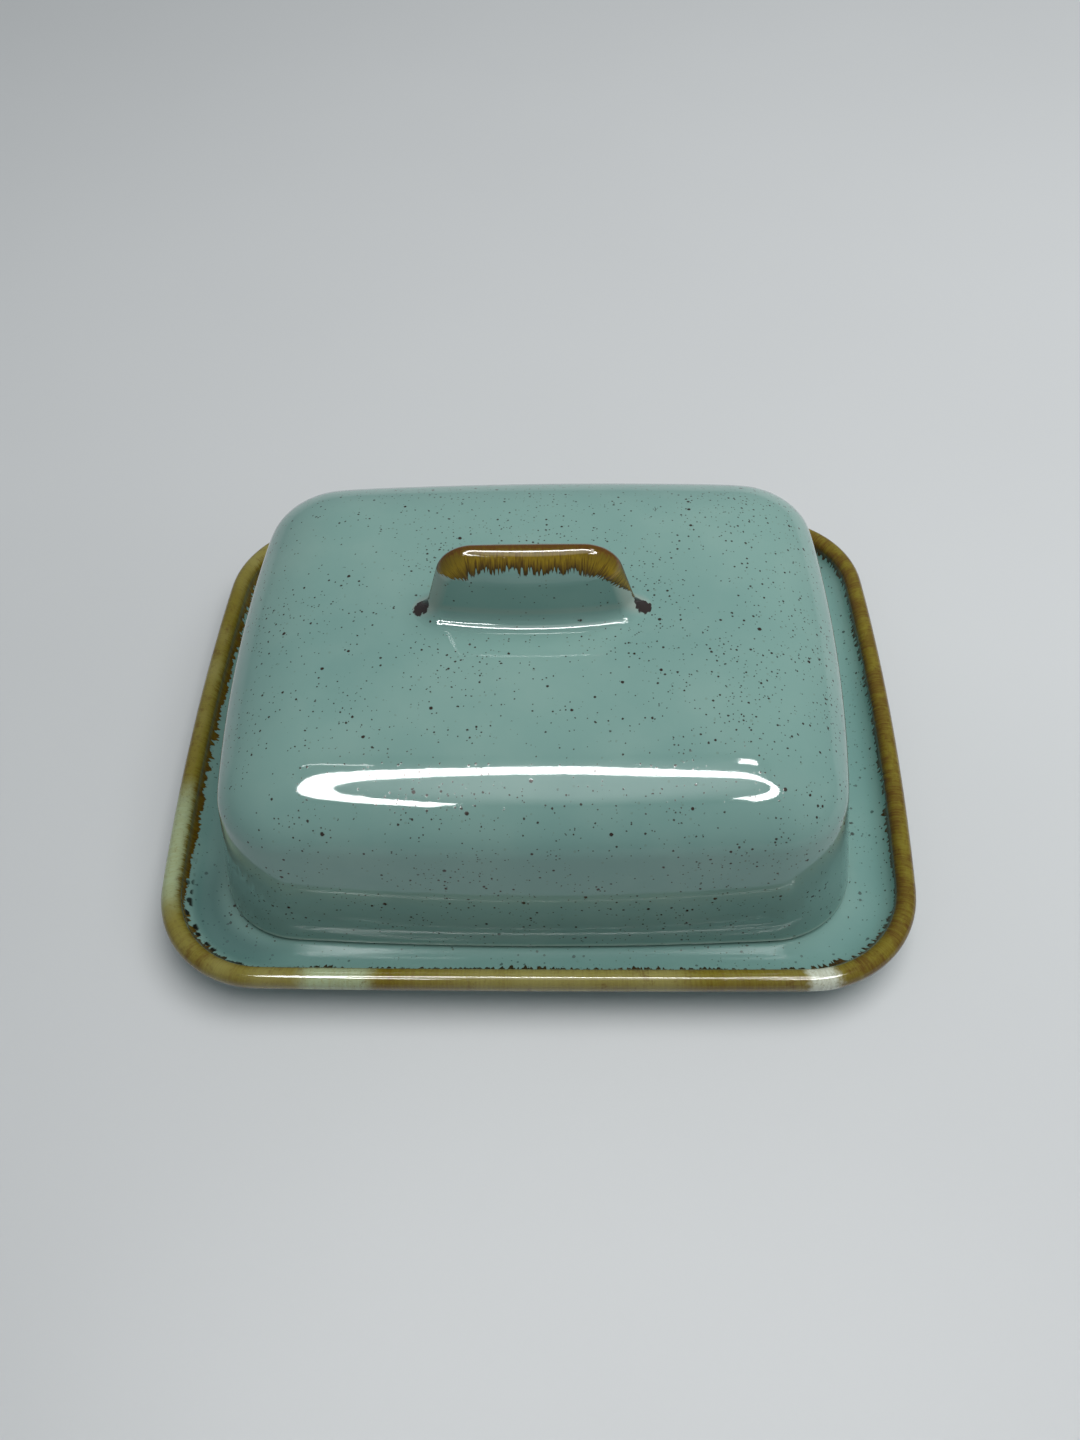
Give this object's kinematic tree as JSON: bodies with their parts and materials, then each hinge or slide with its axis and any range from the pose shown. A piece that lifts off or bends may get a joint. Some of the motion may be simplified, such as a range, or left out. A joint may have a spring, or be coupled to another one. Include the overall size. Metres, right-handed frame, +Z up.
{
  "type": "butter dish",
  "caption": "Shallow rounded-rectangular glazed dish on a foot ring, with a domed lift-off cover and a slab handle on its crown.",
  "frame": {"origin": "centre of the foot ring's underside, on the surface that the dish stands on", "axes": "+X along the dish's length, +Y across it from front to back, +Z up"},
  "size_m": [0.18, 0.1474, 0.075],
  "materials": {
    "turquoise_glaze": "glossy turquoise glaze with fine iron specks, brown-edged at the rim, on stoneware left bare under the foot ring",
    "handle_glaze": "the same turquoise glaze with a brown iron glaze run down from the top edge"
  },
  "bodies": {
    "dish": {"dish": "turquoise_glaze"},
    "cover": {"cover": "turquoise_glaze", "handle": "handle_glaze"}
  },
  "joints": [
    {"name": "cover_lift", "type": "slide", "parent": "dish", "child": "cover", "axis": [0, 0, 1], "range_m": [0, 0.12]}
  ]
}
